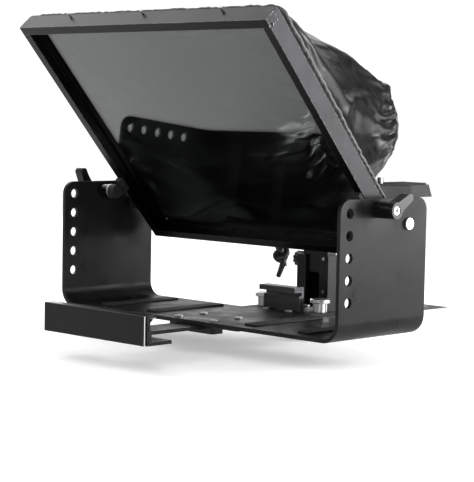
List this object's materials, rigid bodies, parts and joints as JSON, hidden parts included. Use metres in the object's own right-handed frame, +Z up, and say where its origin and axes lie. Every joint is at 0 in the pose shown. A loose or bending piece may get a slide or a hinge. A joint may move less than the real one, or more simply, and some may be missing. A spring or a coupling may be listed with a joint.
{
  "type": "teleprompter",
  "caption": "Tablet teleprompter: leaning beamsplitter glass in a frame on a U bracket, gathered cloth hood, tablet clip, and a rail with a height-adjusting camera riser.",
  "frame": {"origin": "mouth of the tripod socket, centred under the base rail", "axes": "+Z up, +Y from the glass back towards the camera, +X across, to the right when looking along +Y"},
  "size_m": [0.376, 0.4474, 0.2884],
  "materials": {
    "bracket_coat": "satin black powder coat, fine texture",
    "block_black": "satin black",
    "rail_metal": "satin anodised, brushed along its length",
    "screw_steel": "dull steel",
    "bright_steel": "bright plated",
    "rubber_black": "matte",
    "stop_grey": "satin anodised grey",
    "nylon": "satin black nylon",
    "post_black": "satin black anodised",
    "clip_coat": "satin black",
    "spring_steel": "bright spring steel",
    "frame_black": "black anodised, finely brushed",
    "mirror_glass": "beamsplitter coated glass, 60 percent clear",
    "hook_tape": "hook tape",
    "brass_pin": "dull steel",
    "hood_cloth": "coated black nylon cloth with a soft sheen",
    "hem_piping": "grey woven piping",
    "cord_black": "black cloth and cord",
    "knob_plastic": "moulded black plastic",
    "lever_plastic": "glossy black"
  },
  "bodies": {
    "base": {"u_bracket": "bracket_coat", "bed_pads": "rubber_black", "cross_block": "block_black", "base_rail": "rail_metal", "base_screws": "screw_steel", "tripod_block": "block_black", "tripod_insert": "bright_steel", "floor_screws": "screw_steel", "rear_stop": "stop_grey", "rear_stop_screws": "screw_steel", "guide_blocks": "block_black", "pivot_screws": "bright_steel", "pivot_spacers": "nylon", "stop_posts": "post_black", "stop_washers": "bright_steel", "stop_bumpers": "rubber_black", "clip_plunger": "screw_steel"},
    "clip": {"clip_channel": "clip_coat", "clip_face": "clip_coat", "clip_liner": "rubber_black", "clip_leaf": "spring_steel", "clip_bar": "block_black", "clip_screws": "screw_steel"},
    "frame": {"frame_left_rail": "frame_black", "frame_right_rail": "frame_black", "frame_top_rail": "frame_black", "frame_bottom_rail": "frame_black", "glass": "mirror_glass", "glass_gasket": "rubber_black", "velcro_strips": "hook_tape", "frame_bushes": "nylon", "stop_pads": "rubber_black", "hood_studs": "brass_pin", "hood": "hood_cloth", "hood_hem": "hem_piping", "drawstring_knot": "cord_black"},
    "riser": {"riser_base": "block_black", "riser_screws": "screw_steel"},
    "rail_knob": {"rail_lock_knob": "knob_plastic"},
    "column": {"riser_column": "block_black", "camera_bracket": "bracket_coat", "bracket_screws": "screw_steel"},
    "height_knob": {"height_lock_knob": "knob_plastic"},
    "sled": {"camera_sled": "block_black", "sled_pad": "rubber_black"},
    "sled_knob": {"sled_lock_knob": "knob_plastic"},
    "washer": {"screw_washer": "screw_steel"},
    "camera_screw_body": {"camera_screw": "screw_steel"},
    "lever_left": {"lever_left_handle": "lever_plastic", "lever_left_screw": "bright_steel", "lever_left_stud": "screw_steel"},
    "lever_right": {"lever_right_handle": "lever_plastic", "lever_right_screw": "bright_steel", "lever_right_stud": "screw_steel"},
    "thumb_left": {"thumbscrew_left": "bright_steel"},
    "thumb_right": {"thumbscrew_right": "bright_steel"}
  },
  "joints": [
    {"name": "frame_tilt", "type": "hinge", "parent": "base", "child": "frame", "pos_m": [0, -0.0754, 0.1134], "axis": [-1, 0, 0], "range_deg": [0, 41], "deforming": ["hood"]},
    {"name": "lever_left_turn", "type": "hinge", "parent": "base", "child": "lever_left", "pos_m": [-0.175, -0.1148, 0.126], "axis": [1, 0, 0], "continuous": true},
    {"name": "lever_right_turn", "type": "hinge", "parent": "base", "child": "lever_right", "pos_m": [0.175, -0.1148, 0.126], "axis": [1, 0, 0], "continuous": true},
    {"name": "thumbscrew_left_turn", "type": "hinge", "parent": "base", "child": "thumb_left", "pos_m": [-0.034, -0.029, 0.03], "axis": [0, 0, 1], "continuous": true},
    {"name": "thumbscrew_right_turn", "type": "hinge", "parent": "base", "child": "thumb_right", "pos_m": [0.034, -0.029, 0.03], "axis": [0, 0, 1], "continuous": true},
    {"name": "clip_slide", "type": "slide", "parent": "base", "child": "clip", "axis": [0, 1, 0], "range_m": [-0.005, 0.055]},
    {"name": "riser_slide", "type": "slide", "parent": "base", "child": "riser", "axis": [0, 1, 0], "range_m": [-0.005, 0.11]},
    {"name": "rail_knob_turn", "type": "hinge", "parent": "riser", "child": "rail_knob", "pos_m": [0, 0.046, 0], "axis": [0, 0, 1], "continuous": true},
    {"name": "column_height", "type": "slide", "parent": "riser", "child": "column", "axis": [0, 0, 1], "range_m": [-0.03, 0.004]},
    {"name": "height_knob_turn", "type": "hinge", "parent": "riser", "child": "height_knob", "pos_m": [-0.023, 0.008, 0.0665], "axis": [1, 0, 0], "continuous": true},
    {"name": "sled_slide", "type": "slide", "parent": "column", "child": "sled", "axis": [0, 1, 0], "range_m": [-0.001, 0.03]},
    {"name": "sled_knob_turn", "type": "hinge", "parent": "column", "child": "sled_knob", "pos_m": [-0.023, 0.084, 0.1275], "axis": [1, 0, 0], "continuous": true},
    {"name": "camera_screw_slide", "type": "slide", "parent": "sled", "child": "washer", "axis": [0, 1, 0], "range_m": [-0.018, 0.014]},
    {"name": "camera_screw_turn", "type": "hinge", "parent": "washer", "child": "camera_screw_body", "pos_m": [0, 0.092, 0.13], "axis": [0, 0, 1], "continuous": true}
  ]
}
